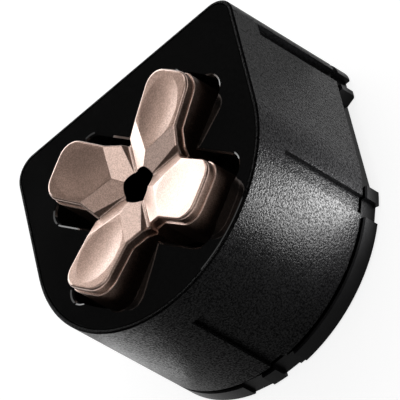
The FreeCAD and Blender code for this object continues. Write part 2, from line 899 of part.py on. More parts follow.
draw_path(sketch, [
    (0, hub_low - cell("overcut")),
    (bore, hub_low - cell("overcut")),
    (bore, pivot),
    (socket_radius, pivot, 0, pivot),
    (0, pivot + socket_radius),
])
revolve(dpad_carrier, "socket", sketch, True)
sketch = new_sketch(dpad_carrier, "hub_screw_holes", hub_low)
diagonal_circles(sketch, cell("cap_screw_place"), cell("cap_screw_radius") + cell("screw_gap"))
pocket(dpad_carrier, "screw_holes", sketch, cap_low - hub_low, True)
sketch = new_sketch(dpad_carrier, "hub_head_rooms", hub_low)
diagonal_circles(sketch, cell("cap_screw_place"), cell("cap_screw_head") + cell("screw_gap"))
pocket(dpad_carrier, "head_rooms", sketch, cell("cap_screw_head_thick"), True)

# Cap screws: four from below through the hub into the cap
cap_screws = new_body("cap_screws")
sketch = new_sketch(cap_screws, "cap_screw_heads", hub_low)
diagonal_circles(sketch, cell("cap_screw_place"), cell("cap_screw_head"))
pad(cap_screws, "heads", sketch, cell("cap_screw_head_thick"))
sketch = new_sketch(cap_screws, "cap_screw_shanks", hub_low)
diagonal_circles(sketch, cell("cap_screw_place"), cell("cap_screw_radius"))
pad(cap_screws, "shanks", sketch, cap_low + cell("cap_screw_reach") - hub_low)
cap_screw_step = cell("cap_screw_place") * diagonal
drive_cross(cap_screws, quarter_turns(cap_screw_step, cap_screw_step), cell("cap_screw_head"),
            cell("cap_screw_head_thick"), hub_low)

# Ball and post: the steel ball rolls in the cup of the post and carries the hub
pivot_ball = doc.addObject("Part::Sphere", "pivot_ball")
pivot_ball.Label = "pivot_ball"
pivot_ball.setExpression("Radius", "Sizes.ball_radius * 1 mm")
pivot_ball.setExpression("Placement.Base.z", pivot.text + " * 1 mm")
post_low = board_low - cell("post_depth")
post_top = pivot - cell("post_drop")
post_screw_top = cell("rear_screw_sunk") + cell("centre_screw_head_thick") + cell("centre_screw_reach")
pivot_post = new_body("pivot_post")
sketch = new_sketch(pivot_post, "post_outline", post_low)
draw_circle(sketch, 0, 0, cell("post_radius"))
pad(pivot_post, "post", sketch, post_top - post_low)
sketch = new_sketch(pivot_post, "collar_outline", board_low)
draw_circle(sketch, 0, 0, cell("post_collar"))
pad(pivot_post, "collar", sketch, cell("post_collar_thick"))
sketch = new_sketch(pivot_post, "cup_profile", None, "XZ_Plane")
draw_path(sketch, [
    (0, pivot - socket_radius, 0, pivot),
    (socket_radius, pivot),
    (0, pivot),
])
revolve(pivot_post, "cup", sketch, True)
sketch = new_sketch(pivot_post, "post_thread_hole", post_low)
draw_circle(sketch, 0, 0, cell("centre_screw_radius") + cell("screw_gap"))
pocket(pivot_post, "thread_hole", sketch, post_screw_top - post_low + cell("blind_extra"), True)

# Membrane: a silicone sheet on the board with one dome under each foot; the carbon-faced
# plug of a dome stands a short travel above its gold pad
dome_membrane = new_body("dome_membrane")
sketch = new_sketch(dome_membrane, "membrane_outline", board_top)
draw_circle(sketch, 0, 0, sheet_radius)
pad(dome_membrane, "membrane_sheet", sketch, cell("sheet_thick"))
sketch = new_sketch(dome_membrane, "membrane_holes", board_top)
draw_circle(sketch, 0, 0, cell("sheet_centre"))
axis_circles(sketch, foot, cell("dome_foot") - cell("dome_wall"))
board_screw_circles(sketch, cell("board_screw_radius") + cell("screw_gap"))
pocket(dome_membrane, "membrane_openings", sketch, cell("sheet_thick"), True)
pill_low = board_top + cell("pad_thick") + cell("pill_travel")
dome_outer = cell("dome_foot")
dome_inner = cell("dome_foot") - cell("dome_wall")
dome_neck = cell("dome_top") - cell("dome_wall")
sketch = new_sketch(dome_membrane, "dome_profile", None, "XZ_Plane")
draw_path(sketch, [
    (foot, pill_low),
    (foot + cell("pill_radius"), pill_low),
    (foot + cell("pill_radius"), (board_top + cell("dome_shoulder")) - cell("dome_wall")),
    (foot + dome_neck, (board_top + cell("dome_shoulder")) - cell("dome_wall")),
    (foot + dome_inner, board_top),
    (foot + dome_outer, board_top),
    (foot + dome_outer, sheet_top),
    (foot + cell("dome_top"), (board_top + cell("dome_shoulder"))),
    (foot + dome_neck, dome_top_level),
    (foot, dome_top_level),
])
axis_line = Part.LineSegment(Vector(foot.value, 0, 0), Vector(foot.value, face_level.value, 0))
geo = sketch.addGeometry(axis_line, True)
pin(sketch, geo, 1, foot, 0)
pin(sketch, geo, 2, foot, face_level)
dome = dome_membrane.newObject("PartDesign::Revolution", "dome")
dome.Profile = sketch
dome.ReferenceAxis = (sketch, ["Axis0"])
dome.Angle = 360.0
sketch.Visibility = False
doc.recompute()
ring_of(dome_membrane, "domes", dome, 4)

# Frame: the stiff plate that holds the membrane's edge and its sheet down on the board
membrane_frame = new_body("membrane_frame")
sketch = new_sketch(membrane_frame, "frame_outline", sheet_top)
draw_circle(sketch, 0, 0, sheet_radius)
pad(membrane_frame, "frame_sheet", sketch, cell("frame_thick"))
sketch = new_sketch(membrane_frame, "frame_holes", sheet_top)
draw_circle(sketch, 0, 0, cell("sheet_centre"))
axis_circles(sketch, foot, cell("dome_foot") + cell("frame_width_gap"))
board_screw_circles(sketch, cell("board_screw_radius") + cell("screw_gap"))
pocket(membrane_frame, "frame_openings", sketch, cell("frame_thick"), True)

# Board screws: four on the diagonals through frame, membrane and board into the cover's posts
board_screws = new_body("board_screws")
sketch = new_sketch(board_screws, "board_screw_heads", frame_top)
board_screw_circles(sketch, cell("board_screw_head"))
pad(board_screws, "heads", sketch, cell("board_screw_head_thick"))
sketch = new_sketch(board_screws, "board_screw_shanks", board_low - cell("board_screw_reach"))
board_screw_circles(sketch, cell("board_screw_radius"))
pad(board_screws, "shanks", sketch, frame_top - board_low + cell("board_screw_reach"))
board_screw_step = board_screw_place * diagonal
drive_cross(board_screws, quarter_turns(board_screw_step, board_screw_step),
            cell("board_screw_head"), cell("board_screw_head_thick"),
            frame_top + cell("board_screw_head_thick"), False)

# Circuit board with its pads and parts
board_inset = cell("wall") + cell("board_gap")
circuit_board = new_body("circuit_board", True)
sketch = new_sketch(circuit_board, "board_outline", board_low)
case_outline(sketch, board_inset)
pad(circuit_board, "board_sheet", sketch, cell("board_thick"))
sketch = new_sketch(circuit_board, "board_notches", board_low)
bosses_of_case(sketch, cell("boss_radius") + cell("boss_notch_gap"))
pocket(circuit_board, "boss_notches", sketch, cell("board_thick"), True)
sketch = new_sketch(circuit_board, "board_holes", board_low)
draw_circle(sketch, 0, 0, cell("post_collar") + cell("board_centre_gap"))
axis_circles(sketch, board_screw_place, cell("board_screw_radius") + cell("screw_gap"))
contact_circles(sketch, cell("contact_pin") + cell("contact_pin_gap"))
pocket(circuit_board, "holes", sketch, cell("board_thick"), True)

switch_pads = new_body("switch_pads")
sketch = new_sketch(switch_pads, "pad_outline", board_top)
axis_circles(sketch, foot, cell("pad_radius"))
pad(switch_pads, "pads", sketch, cell("pad_thick"))
slit = cell("pad_slit") / 2
sketch = new_sketch(switch_pads, "pad_slits", board_top)
for across, along in quarter_turns(foot, as_size(0)):
    draw_box(sketch, across - slit, along - cell("pad_radius") - cell("overcut"), across + slit,
             along + cell("pad_radius") + cell("overcut"))
pocket(switch_pads, "slits", sketch, cell("pad_thick"), True)

board_chip = new_body("board_chip", True)
chip_half = cell("chip_side") / 2
sketch = new_sketch(board_chip, "chip_outline", board_low - cell("chip_thick"))
draw_box(sketch, cell("chip_across") - chip_half, cell("chip_along") - chip_half,
         cell("chip_across") + chip_half, cell("chip_along") + chip_half)
pad(board_chip, "chip", sketch, cell("chip_thick"))
level_chip = board_low.value - cell("chip_thick").value
chamfer(board_chip, "chip_edge", cell("chip_edge"), lambda edge: on_level(edge, level_chip))

board_passives = new_body("board_passives", True)
sketch = new_sketch(board_passives, "small_parts", board_low - cell("small_tall"))
small_half = cell("small_long") / 2
for number in range(6):
    left = cell("small_place") + cell("small_step") * number
    draw_box(sketch, left, -cell("small_row") - small_half, left + cell("small_wide"),
             -cell("small_row") + small_half)
pad(board_passives, "small_blocks", sketch, cell("small_tall"))

# Rear contacts: an insulating block with gold contacts in its rear face
block_low = cell("block_recess")
contact_block = new_body("contact_block", True)
long_half = block_long / 2
wide_half = cell("block_wide") / 2
sketch = new_sketch(contact_block, "block_outline", block_low)
draw_box(sketch, -long_half, block_place - wide_half, long_half,
         block_place + wide_half)
pad(contact_block, "block", sketch, board_low - block_low)
sketch = new_sketch(contact_block, "block_pin_holes", block_low)
contact_circles(sketch, cell("contact_pin") + cell("contact_pin_gap"))
pocket(contact_block, "pin_holes", sketch, board_low - block_low, True)
level_block = block_low.value
chamfer(contact_block, "block_edge", cell("block_edge"), lambda edge: on_level(edge, level_block)
        and edge.Curve.TypeId == "Part::GeomLine")

contact_pins = new_body("contact_pins", True)
sketch = new_sketch(contact_pins, "contact_faces", block_low - cell("contact_thick"))
contact_half = cell("contact_wide") / 2
for across in contact_places():
    draw_box(sketch, across - contact_half, block_place - cell("contact_long") / 2,
             across + contact_half, block_place + cell("contact_long") / 2)
pad(contact_pins, "faces", sketch, cell("contact_thick"))
sketch = new_sketch(contact_pins, "contact_legs", block_low - cell("contact_thick"))
contact_circles(sketch, cell("contact_pin"))
pad(contact_pins, "legs", sketch,
    board_top - block_low + cell("contact_thick") - cell("solder_gap"))

# Rear cover: the base plate with its spigot, posts, window, magnet rooms and screw seats
rear_cover = new_body("rear_cover", True)
sketch = new_sketch(rear_cover, "cover_outline", as_size(0))
case_outline(sketch, as_size(0))
pad(rear_cover, "cover_plate", sketch, cover_top)
cover_level = cover_top.value
chamfer(rear_cover, "rim_edges", cell("edge_chamfer"), lambda edge: on_level(edge, 0.0)
        or on_level(edge, cover_level))
spigot_inset = cell("wall") + cell("spigot_gap")
sketch = new_sketch(rear_cover, "spigot_outline", cover_top)
case_outline(sketch, spigot_inset)
case_outline(sketch, spigot_inset + cell("spigot_thick"))
pad(rear_cover, "spigot", sketch, cell("spigot_height"))
sketch = new_sketch(rear_cover, "spigot_boss_rooms", cover_top)
bosses_of_case(sketch, cell("boss_radius") + cell("boss_notch_gap"))
pocket(rear_cover, "boss_rooms", sketch, cell("spigot_height"), True)
sketch = new_sketch(rear_cover, "cover_posts", cover_top)
draw_circle(sketch, 0, 0, cell("centre_boss"))
axis_circles(sketch, board_screw_place, cell("board_post_radius"))
pad(rear_cover, "posts", sketch, board_low - cover_top)
sketch = new_sketch(rear_cover, "cover_post_holes", board_low)
draw_circle(sketch, 0, 0, cell("post_radius") + cell("post_fit"))
pocket(rear_cover, "post_hole", sketch, cell("post_depth"))
sketch = new_sketch(rear_cover, "board_screw_holes", board_low)
axis_circles(sketch, board_screw_place, cell("board_screw_radius") + cell("screw_gap"))
pocket(rear_cover, "post_threads", sketch, cell("board_screw_reach") + cell("blind_extra"))
sketch = new_sketch(rear_cover, "contact_window", as_size(0))
draw_box(sketch, -long_half - cell("block_gap"), block_place - wide_half - cell("block_gap"),
         long_half + cell("block_gap"), block_place + wide_half + cell("block_gap"))
pocket(rear_cover, "window", sketch, cover_top, True)
sketch = new_sketch(rear_cover, "magnet_rooms", cover_top)
magnet_circles(sketch, cell("magnet_radius") + cell("magnet_gap"))
pocket(rear_cover, "magnet_pockets", sketch, cell("magnet_thick"))
sketch = new_sketch(rear_cover, "screw_passages", as_size(0))
bosses_of_case(sketch, cell("rear_screw_radius") + cell("rear_head_gap") / 2)
draw_circle(sketch, 0, 0, cell("centre_screw_radius") + cell("screw_gap"))
pocket(rear_cover, "passages", sketch, cover_top, True)
sketch = new_sketch(rear_cover, "screw_seats", as_size(0))
bosses_of_case(sketch, cell("rear_screw_head") + cell("rear_head_gap"))
pocket(rear_cover, "seats", sketch, cell("rear_screw_sunk") + cell("rear_screw_head_thick"), True)
sketch = new_sketch(rear_cover, "centre_seat", as_size(0))
draw_circle(sketch, 0, 0, cell("centre_screw_head") + cell("rear_head_gap"))
pocket(rear_cover, "centre_head_room", sketch,
       cell("rear_screw_sunk") + cell("centre_screw_head_thick"), True)
sketch = new_sketch(rear_cover, "cover_slots", as_size(0))
slot_boxes(sketch, cell("case_radius") - cell("slot_depth"))
pocket(rear_cover, "cover_guide_slots", sketch, cover_top, True)
out = cell("case_radius") + cell("outcut")
floor = cell("case_radius") - cell("side_recess")
sketch = new_sketch(rear_cover, "side_recesses", as_size(0))
draw_path(sketch, [
    (floor, -cell("side_recess_low")),
    (out, -cell("side_recess_low")),
    (out, (cell("case_flat") - cell("side_recess_inset")) + cell("side_recess")),
    (floor, (cell("case_flat") - cell("side_recess_inset"))),
])
draw_path(sketch, [
    (-floor, -cell("side_recess_low")),
    (-floor, (cell("case_flat") - cell("side_recess_inset"))),
    (-out, (cell("case_flat") - cell("side_recess_inset")) + cell("side_recess")),
    (-out, -cell("side_recess_low")),
])
pocket(rear_cover, "side_steps", sketch, cover_top, True)
sketch = new_sketch(rear_cover, "end_recesses", as_size(0))
turn = cell("end_recess_angle")
end_half = cell("end_recess_width") / 2
draw_turned_box(sketch, 270 - turn, cell("case_radius") - cell("end_recess"), out, end_half)
draw_turned_box(sketch, 270 + cell("end_recess_near"), cell("case_radius") - cell("end_recess"),
                out, end_half)
pocket(rear_cover, "end_steps", sketch, cover_top, True)

cover_magnets = new_body("cover_magnets", True)
sketch = new_sketch(cover_magnets, "magnet_outline", cover_top - cell("magnet_thick"))
magnet_circles(sketch, cell("magnet_radius"))
pad(cover_magnets, "magnets", sketch, cell("magnet_thick"))

# Rear screws: four into the housing's bosses, and one into the post
rear_screws = new_body("rear_screws", True)
sketch = new_sketch(rear_screws, "rear_screw_heads", cell("rear_screw_sunk"))
bosses_of_case(sketch, cell("rear_screw_head"))
pad(rear_screws, "heads", sketch, cell("rear_screw_head_thick"))
sketch = new_sketch(rear_screws, "rear_screw_shanks", cell("rear_screw_sunk"))
bosses_of_case(sketch, cell("rear_screw_radius"))
pad(rear_screws, "shanks", sketch,
    cover_top + cell("rear_screw_reach") - cell("rear_screw_sunk") - cell("tip_gap"))
drive_cross(rear_screws, boss_places(), cell("rear_screw_head"), cell("rear_screw_head_thick"),
            cell("rear_screw_sunk"))

post_screw = new_body("post_screw")
sketch = new_sketch(post_screw, "post_screw_head", cell("rear_screw_sunk"))
draw_circle(sketch, 0, 0, cell("centre_screw_head"))
pad(post_screw, "head", sketch, cell("centre_screw_head_thick"))
sketch = new_sketch(post_screw, "post_screw_shank", cell("rear_screw_sunk"))
draw_circle(sketch, 0, 0, cell("centre_screw_radius"))
pad(post_screw, "shank", sketch, cell("centre_screw_head_thick") + cell("centre_screw_reach"))
drive_cross(post_screw, [(0, 0)], cell("centre_screw_head"), cell("centre_screw_head_thick"),
            cell("rear_screw_sunk"))

doc.recompute()
NODES = [
    housing, face_plate, plate_tape, dpad_cap, dpad_carrier, cap_screws, pivot_ball, pivot_post,
    dome_membrane, membrane_frame, circuit_board, board_screws, switch_pads, board_chip,
    board_passives, contact_block, contact_pins, rear_cover, cover_magnets, rear_screws,
    post_screw,
]
for item in doc.Objects:
    if "Invalid" in item.State or "Error" in item.State:
        raise ValueError("failed object " + item.Name)
for node in NODES:
    shape = node.Shape
    if shape.isNull() or not shape.isValid() or not shape.Solids:
        raise ValueError("bad shape " + node.Label)
os.makedirs("parts", exist_ok=True)
for node in NODES:
    node.Shape.exportStep("parts/" + node.Label + ".step")
    print(node.Label, len(node.Shape.Solids), round(node.Shape.Volume, 2))
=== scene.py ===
# %% [markdown]
# # A direction-pad module, dressed and lit
# The object is a small plug-in module for a game controller. A black moulded case holds a
# rocking metal cross, and the case is held in a bay by slots in its wall and magnets in its
# rear cover. Its shape comes ready made from the CAD model, so this lesson is about finishes,
# light and the camera. The model could be rebuilt here by hand, but then its parts would no
# longer fit each other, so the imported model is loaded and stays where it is.

# %% Load the model
import math

import bpy
from mathutils import Matrix, Quaternion, Vector

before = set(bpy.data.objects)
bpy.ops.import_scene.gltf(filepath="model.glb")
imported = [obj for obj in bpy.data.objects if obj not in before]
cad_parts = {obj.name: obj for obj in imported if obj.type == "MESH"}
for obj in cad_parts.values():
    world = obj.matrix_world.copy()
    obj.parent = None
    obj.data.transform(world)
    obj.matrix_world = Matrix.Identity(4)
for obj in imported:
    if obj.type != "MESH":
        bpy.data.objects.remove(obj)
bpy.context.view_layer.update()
print("pieces loaded:", len(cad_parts))

# %% [markdown]
# ## The camera
# The photograph looks down on the module from one side, and the camera is rolled, so that the
# case hangs across the picture. An aim constraint can't roll like that, so the camera gets its
# three directions as a matrix: right, up and backwards. They were found by matching the edges
# of the face, the well and the slots. The lens is long, because the photograph shows almost
# no perspective.

# %% Place the camera
RIGHT = Vector((0.6181, 0.3706, -0.6933))
DOWN = Vector((0.0991, -0.9116, -0.3990))
FORWARD = Vector((-0.7799, 0.1779, -0.6001))
FACE_CENTRE = Vector((0.0, 0.0, 0.0216))
CAMERA_OFFSET = Vector((0.47841, -0.10687, 0.35969))

lens = bpy.data.cameras.new("long_lens")
lens.lens = 450.0
lens.sensor_width = 36.0
lens.clip_start = 0.01
lens.clip_end = 50.0
camera = bpy.data.objects.new("camera", lens)
bpy.context.scene.collection.objects.link(camera)
turn = Matrix((RIGHT, -DOWN, -FORWARD)).transposed()
camera.matrix_world = turn.to_4x4()
camera.location = FACE_CENTRE + CAMERA_OFFSET
bpy.context.scene.camera = camera
bpy.context.scene.view_settings.view_transform = "Standard"
print("camera stands", round(camera.location.length, 3), "m from the module")

# %% [markdown]
# ## Helpers that make a finish
# Every finish below is a shader with a few textures joined to it. Three helpers keep that
# short. One makes a node and fills its sockets by name, one makes a material whose plain
# numbers are typed on the shader's own sockets, and one puts it on pieces of the model.

# %% Helpers for materials
def add_node(tree, kind, **values):
    """Makes one node. Each value goes to the socket of that name, or else to a setting."""
    made = tree.nodes.new(kind)
    for name, value in values.items():
        socket = name.replace("_", " ").title()
        if socket in made.inputs:
            made.inputs[socket].default_value = value
        else:
            setattr(made, name, value)
    return made


def new_finish(name, colour, roughness, metallic=0.0):
    """A material with one Principled shader, and its tree."""
    material = bpy.data.materials.new(name)
    material.use_nodes = True
    shader = material.node_tree.nodes["Principled BSDF"]
    shader.inputs["Base Color"].default_value = (*colour, 1.0)
    shader.inputs["Roughness"].default_value = roughness
    shader.inputs["Metallic"].default_value = metallic
    return material, material.node_tree, shader


def dress(material, *names):
    """Puts a finish on pieces of the model."""
    for name in names:
        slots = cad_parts[name].data.materials
        slots.clear()
        slots.append(material)
    print(material.name, "on", ", ".join(names))


# %% [markdown]
# ## Helpers that make a pattern
# Real surfaces vary a little everywhere. Soft noise stands for that variation, and the helpers
# turn it into a number, a colour or a bump. The patterns use the piece's own coordinates, so
# they stay with the piece when it moves, and their sizes can be typed in metres.

# %% Helpers for patterns
def in_metres(tree):
    """Texture coordinates of the piece itself, so a pattern is as large as on the real one."""
    return add_node(tree, "ShaderNodeTexCoord").outputs["Object"]


def mottled(tree, size, detail=3.0):
    """A soft random pattern, with blotches of the size given in metres."""
    noise = add_node(tree, "ShaderNodeTexNoise", scale=1.0 / size, detail=detail)
    tree.links.new(in_metres(tree), noise.inputs["Vector"])
    return noise.outputs["Fac"]


def between(tree, pattern, low, high, start=0.3, end=0.7):
    """Turns a pattern into a number: low at the pattern's start value and high at its end."""
    spread = add_node(tree, "ShaderNodeMapRange", from_min=start, from_max=end)
    spread.inputs["To Min"].default_value = low
    spread.inputs["To Max"].default_value = high
    tree.links.new(pattern, spread.inputs["Value"])
    return spread.outputs["Result"]


def two_tones(tree, pattern, dark, pale, start=0.3, end=0.7):
    """Turns a pattern into a colour between two tones, from its start value to its end."""
    ramp = add_node(tree, "ShaderNodeValToRGB")
    ramp.color_ramp.elements[0].position = start
    ramp.color_ramp.elements[0].color = (*dark, 1.0)
    ramp.color_ramp.elements[1].position = end
    ramp.color_ramp.elements[1].color = (*pale, 1.0)
    tree.links.new(pattern, ramp.inputs["Fac"])
    return ramp.outputs["Color"]


def roughen(tree, shader, height, depth, strength=1.0):
    """Presses a pattern into the surface as a bump of the depth given in metres."""
    bump = add_node(tree, "ShaderNodeBump", strength=strength, distance=depth)
    tree.links.new(height, bump.inputs["Height"])
    tree.links.new(bump.outputs["Normal"], shader.inputs["Normal"])


# %% [markdown]
# ## Grained plastic for the housing
# The wall of the case has a spark-eroded grain: rounded bumps about a quarter of a millimetre
# across that break the light into small glints. A picture of grain would have to be wrapped
# round the wall and would stretch, so noise in the piece's own space makes it. The same noise
# presses the bumps in and sets how much each spot shines. A bump alone isn't enough: from
# here it is hardly wider than a pixel, and its glint would average away. A second, slow noise
# varies the polish from place to place.

# %% Grained black plastic
GRAIN_SIZE = 0.00024
GRAIN_DEPTH = 0.00006
LEAST_SHINE = 0.012
MOST_SHINE = 0.065

plastic, tree, shader = new_finish("grained_black_plastic", (0.012, 0.012, 0.013), 0.5)
grain = mottled(tree, GRAIN_SIZE, detail=1.5)
shine = between(tree, grain, LEAST_SHINE, MOST_SHINE, start=0.36, end=0.64)
tree.links.new(shine, shader.inputs["Specular IOR Level"])
tree.links.new(
    two_tones(tree, grain, (0.0012, 0.0012, 0.0013), (0.004, 0.004, 0.0042)),
    shader.inputs["Base Color"],
)
tree.links.new(between(tree, mottled(tree, 0.004), 0.30, 0.36), shader.inputs["Roughness"])
roughen(tree, shader, grain, GRAIN_DEPTH)
dress(plastic, "housing")

# %% [markdown]
# ## Smoother plastic for the rear cover
# The rear cover comes from another mould, polished a little finer, so its rim shows one soft
# sheen where the wall shows glints. The grain's recipe would do here with a smaller size. A
# haze finer than a pixel is simpler: it isn't seen as grain and only softens the sheen.

# %% Satin black plastic
satin, tree, shader = new_finish("satin_black_plastic", (0.012, 0.012, 0.013), 0.4)
shader.inputs["Specular IOR Level"].default_value = 0.06
haze = mottled(tree, 0.00012, detail=2.0)
tree.links.new(
    two_tones(tree, mottled(tree, 0.003), (0.0015, 0.0015, 0.0016), (0.004, 0.004, 0.0042)),
    shader.inputs["Base Color"],
)
tree.links.new(between(tree, haze, 0.30, 0.42), shader.inputs["Roughness"])
roughen(tree, shader, haze, 0.000008)
dress(satin, "rear_cover")

# %% [markdown]
# ## Gloss black for the face plate
# The face is a polished plate, almost a mirror. A low roughness alone would do, but perfect
# mirrors look false. So a very shallow, wide ripple bends the reflections as moulding does,
# and faint smears vary the polish.

# %% Gloss black plastic
gloss, tree, shader = new_finish("gloss_black_plastic", (0.003, 0.003, 0.003), 0.05)
ripple = mottled(tree, 0.006, detail=1.0)
tree.links.new(
    two_tones(tree, mottled(tree, 0.0006), (0.002, 0.002, 0.002), (0.004, 0.004, 0.004)),
    shader.inputs["Base Color"],
)
tree.links.new(between(tree, mottled(tree, 0.009), 0.03, 0.07), shader.inputs["Roughness"])
roughen(tree, shader, ripple, 0.00001, strength=0.5)
dress(gloss, "face_plate")

# %% [markdown]
# ## Rose bronze for the cross
# The cross is a metal casting with a satin bronze finish: fine flakes under a clear coat.
# The shader has both layers. The metal below gives the rose tone, and the coat above mirrors
# white light without tinting it, so the brightest arms turn pale. Each flake has its own tone,
# and the cells of a Voronoi pattern stand for the flakes. A fine noise is the casting's skin.
#
# The eye in the middle of the cross is a hole in shade, and its wall gets painted shade:
# black instead of bronze, with no coat. A second material on its faces would need them picked
# out by hand. The distance from the cross's axis does it by itself: it turns tone and coat to
# nothing inside the eye's radius, and so paints the shade in.

# %% Satin rose bronze
# The painted shade fills the eye out to this radius and fades out over the blend.
EYE_RADIUS = 0.00238
EYE_BLEND = 0.00006
FLAKES_PER_METRE = 9000.0


def outside_eye_shade(tree):
    """1 on the casting and 0 on the wall of the eye, where black colour stands in for its
    shade.
    """
    flat = add_node(tree, "ShaderNodeVectorMath", operation="MULTIPLY")
    flat.inputs[1].default_value = (1.0, 1.0, 0.0)
    tree.links.new(in_metres(tree), flat.inputs[0])
    reach = add_node(tree, "ShaderNodeVectorMath", operation="LENGTH")
    tree.links.new(flat.outputs["Vector"], reach.inputs[0])
    return between(
        tree, reach.outputs["Value"], 0.0, 1.0, EYE_RADIUS, EYE_RADIUS + EYE_BLEND
    )


bronze, tree, shader = new_finish("rose_bronze", (0.46, 0.275, 0.215), 0.38, metallic=1.0)
shader.inputs["Coat IOR"].default_value = 2.2
shader.inputs["Coat Roughness"].default_value = 0.20
flakes = add_node(tree, "ShaderNodeTexVoronoi", scale=FLAKES_PER_METRE)
tree.links.new(in_metres(tree), flakes.inputs["Vector"])
tones = two_tones(tree, flakes.outputs["Color"], (0.42, 0.255, 0.190), (0.64, 0.410, 0.315))
# Painted shade: inside the eye, tone and coat drop to nothing, so its wall renders black.
free_of_eye_shade = outside_eye_shade(tree)
tones_with_eye_shade = add_node(tree, "ShaderNodeVectorMath", operation="SCALE")
tree.links.new(tones, tones_with_eye_shade.inputs[0])
tree.links.new(free_of_eye_shade, tones_with_eye_shade.inputs["Scale"])
tree.links.new(tones_with_eye_shade.outputs["Vector"], shader.inputs["Base Color"])
tree.links.new(free_of_eye_shade, shader.inputs["Coat Weight"])
tree.links.new(between(tree, mottled(tree, 0.0025), 0.31, 0.34), shader.inputs["Roughness"])
roughen(tree, shader, mottled(tree, 0.00014, detail=1.0), 0.000006)
dress(bronze, "dpad_cap")

# %% [markdown]
# ## What lies under the cross
# Little of this shows, through the gap round the cross and the eye in its middle, but a
# teardown shows all of it. The carrier, the membrane's frame and the contact block are nylon,
# slightly cloudy and matt. One function makes them all, because they differ only in tone. The
# membrane is silicone rubber, which lets some light in. A milky colour would come close, but
# a little scattering below the surface also softens its edges.

# %% Nylon and silicone rubber
def nylon(name, dark, pale, *pieces):
    """A matt, slightly cloudy moulding in two close tones."""
    material, tree, shader = new_finish(name, pale, 0.55)
    cloud = mottled(tree, 0.0015)
    tree.links.new(two_tones(tree, cloud, dark, pale), shader.inputs["Base Color"])
    tree.links.new(between(tree, cloud, 0.48, 0.62), shader.inputs["Roughness"])
    roughen(tree, shader, mottled(tree, 0.0002), 0.00001)
    dress(material, *pieces)


nylon("black_nylon", (0.012, 0.012, 0.012), (0.022, 0.022, 0.023), "dpad_carrier")
nylon("grey_nylon", (0.030, 0.031, 0.033), (0.050, 0.051, 0.054), "membrane_frame")
nylon("glass_filled_nylon", (0.010, 0.010, 0.011), (0.030, 0.030, 0.031), "contact_block")

rubber, tree, shader = new_finish("silicone_rubber", (0.50, 0.51, 0.52), 0.5)
shader.inputs["Subsurface Weight"].default_value = 0.3
shader.inputs["Subsurface Scale"].default_value = 0.001
milk = mottled(tree, 0.002)
tree.links.new(
    two_tones(tree, milk, (0.46, 0.47, 0.48), (0.56, 0.57, 0.58)),
    shader.inputs["Base Color"],
)
tree.links.new(between(tree, milk, 0.44, 0.56), shader.inputs["Roughness"])
roughen(tree, shader, mottled(tree, 0.0004), 0.00001)
dress(rubber, "dome_membrane")

# %% [markdown]
# ## Foam tape
# A die-cut foam tape holds the face plate. Its open cells show at its edge as fine pits.
# Holes in the mesh would be far too many for a strip this thin, so the cells of a Voronoi
# pattern press them in as a bump.

# %% Foam tape
CELLS_PER_METRE = 6000.0

tape, tree, shader = new_finish("foam_tape", (0.02, 0.02, 0.02), 0.9)
cells = add_node(tree, "ShaderNodeTexVoronoi", scale=CELLS_PER_METRE)
tree.links.new(in_metres(tree), cells.inputs["Vector"])
tree.links.new(
    two_tones(tree, cells.outputs["Distance"], (0.010, 0.010, 0.010), (0.035, 0.035, 0.035)),
    shader.inputs["Base Color"],
)
roughen(tree, shader, cells.outputs["Distance"], 0.00003)
dress(tape, "plate_tape")

# %% [markdown]
# ## Metals
# Screws, the ball, the post, the magnets and the gold contacts differ in colour and in how
# they were made. Turned metal has fine lines round its axis, so its noise is squeezed along
# that axis; plated parts only have a faint cloud. Rings could be drawn instead, but squeezed
# noise is uneven, as a worn tool leaves them.

# %% Plated and turned metal
MARKS_PER_METRE = 2500.0
SMOOTHER = 0.06
ROUGHER = 0.08


def metal(name, dark, pale, rough, lines, *pieces):
    """Bare metal. Its marks are squeezed along Z by the number of lines."""
    material, tree, shader = new_finish(name, pale, rough, metallic=1.0)
    squeeze = add_node(tree, "ShaderNodeMapping")
    squeeze.inputs["Scale"].default_value = (1.0, 1.0, lines)
    marks = add_node(tree, "ShaderNodeTexNoise", scale=MARKS_PER_METRE, detail=3.0)
    tree.links.new(in_metres(tree), squeeze.inputs["Vector"])
    tree.links.new(squeeze.outputs["Vector"], marks.inputs["Vector"])
    pattern = marks.outputs["Fac"]
    tree.links.new(two_tones(tree, pattern, dark, pale), shader.inputs["Base Color"])
    polish = between(tree, pattern, rough - SMOOTHER, rough + ROUGHER)
    tree.links.new(polish, shader.inputs["Roughness"])
    roughen(tree, shader, pattern, 0.000006)
    dress(material, *pieces)


PLATED = 1.0
FINELY_TURNED = 12.0
TURNED = 10.0
ZINC = ((0.46, 0.47, 0.48), (0.62, 0.63, 0.65))
OXIDE = ((0.020, 0.020, 0.022), (0.050, 0.050, 0.054))
BRASS = ((0.56, 0.42, 0.19), (0.72, 0.56, 0.28))
BEARING = ((0.55, 0.55, 0.56), (0.66, 0.66, 0.67))
STEEL = ((0.48, 0.48, 0.49), (0.62, 0.62, 0.63))
NICKEL = ((0.52, 0.51, 0.48), (0.66, 0.64, 0.60))
GOLD = ((0.78, 0.55, 0.20), (0.95, 0.72, 0.32))

metal("zinc_plate", *ZINC, 0.30, PLATED, "cap_screws", "board_screws")
metal("black_oxide", *OXIDE, 0.34, PLATED, "rear_screws")
metal("turned_brass", *BRASS, 0.26, FINELY_TURNED, "pivot_post")
metal("bearing_steel", *BEARING, 0.14, PLATED, "pivot_ball")
metal("turned_steel", *STEEL, 0.28, TURNED, "post_screw")
metal("nickel_plate", *NICKEL, 0.20, PLATED, "cover_magnets")
metal("gold_plate", *GOLD, 0.24, PLATED, "switch_pads", "contact_pins")

# %% [markdown]
# ## The circuit board and its parts
# The board is glass cloth under a green mask: the weave shows faintly through it. Cloth that
# regular needs no noise, only a slightly bent wave. The chip is matt moulding compound, and
# the small passives are ceramic with a warm cast, so the nylon's recipe serves for both.

# %% Board, chip and ceramic
WEAVE_PER_METRE = 700.0

